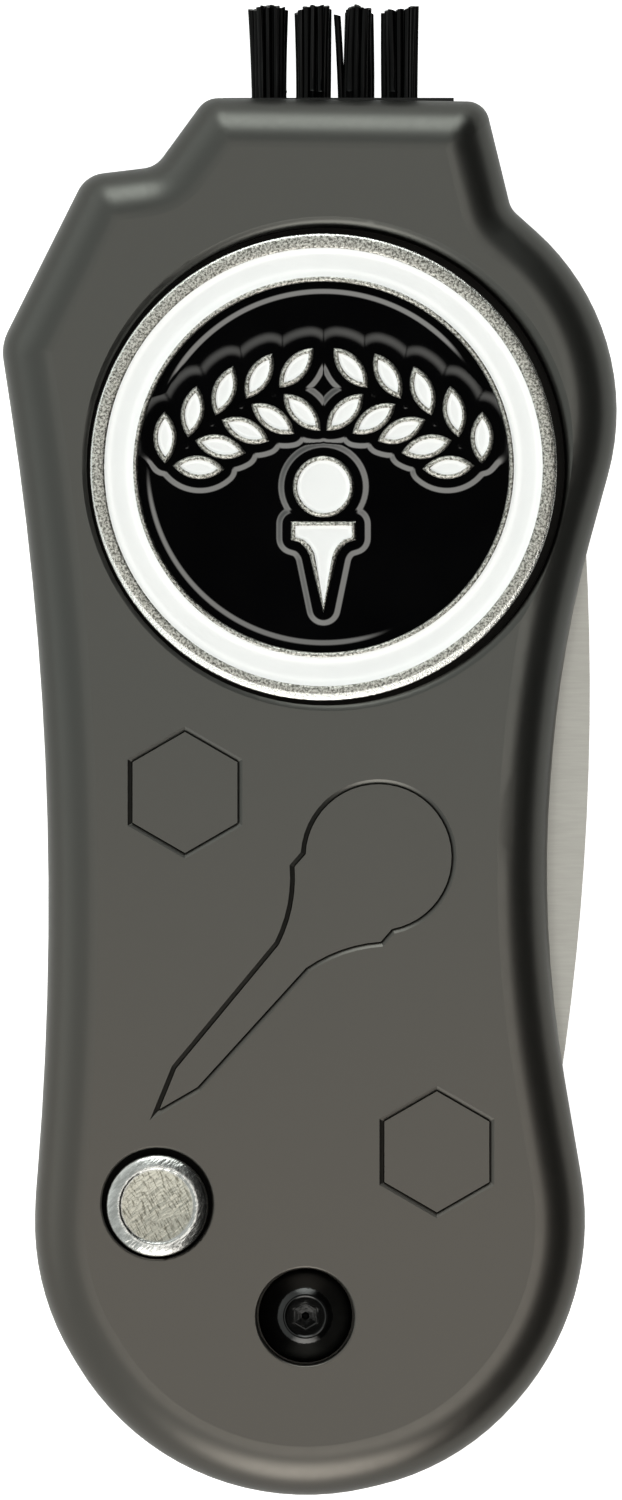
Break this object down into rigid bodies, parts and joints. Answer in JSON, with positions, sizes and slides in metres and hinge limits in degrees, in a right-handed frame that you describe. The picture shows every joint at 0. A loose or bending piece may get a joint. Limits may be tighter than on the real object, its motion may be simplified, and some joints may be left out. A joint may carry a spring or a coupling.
{
  "type": "golf divot tool with groove brush",
  "caption": "Folding golf divot tool with a fork that swings out of a metal handle, a release button, a magnetic ball marker and a short nylon groove brush on its top edge.",
  "frame": {"origin": "middle of the overall box, on the plane of the back face the tool lies on", "axes": "+X across the handle to the right seen from the front, +Y along the handle towards the brush, +Z out of the front face"},
  "size_m": [0.033, 0.0799, 0.0115],
  "materials": {
    "gunmetal": "satin gunmetal lacquer, slightly warm grey",
    "stainless": "brushed across the blade",
    "button_steel": "turned, with fine scratches on the flat face",
    "spring_steel": "plain drawn steel",
    "black_steel": "glossy black",
    "bronze": "plain",
    "nickel": "nickel plated, lightly speckled",
    "white_enamel": "glossy soft enamel",
    "dark_enamel": "glossy black soft enamel",
    "magnet": "nickel plated",
    "black_plastic": "moulded black nylon",
    "nylon": "black nylon bristles"
  },
  "bodies": {
    "handle": {"front_shell": "gunmetal", "back_shell": "gunmetal", "pivot_screw": "black_steel", "barrel_nut": "black_steel", "front_washer": "bronze", "back_washer": "bronze", "torsion_spring": "spring_steel", "stop_pins": "spring_steel", "button_spring": "spring_steel", "marker_magnet": "magnet", "brush_block": "black_plastic", "bristle_tuft_1": "nylon", "bristle_tuft_2": "nylon", "bristle_tuft_3": "nylon", "bristle_tuft_4": "nylon", "tuft_staples": "spring_steel", "case_screws": "black_steel"},
    "fork": {"divot_fork": "stainless"},
    "button": {"lock_button": "button_steel", "lock_collar": "spring_steel"},
    "marker": {"marker_coin": "nickel", "marker_white_ring": "white_enamel", "marker_dark_field": "dark_enamel", "marker_emblem_fill": "white_enamel"}
  },
  "joints": [
    {"name": "fork_swing", "type": "hinge", "parent": "handle", "child": "fork", "pos_m": [-0.00022, -0.03034, 0.0055], "axis": [0, 0, -1], "range_deg": [0, 171]},
    {"name": "button_press", "type": "slide", "parent": "handle", "child": "button", "axis": [0, 0, -1], "range_m": [0, 0.0015], "stiffness_N_per_m": 900, "springref_m": -0.0006, "deforming": ["button_spring"]},
    {"name": "marker_lift", "type": "slide", "parent": "handle", "child": "marker", "axis": [0, 0, 1], "range_m": [0, 0.008]}
  ]
}
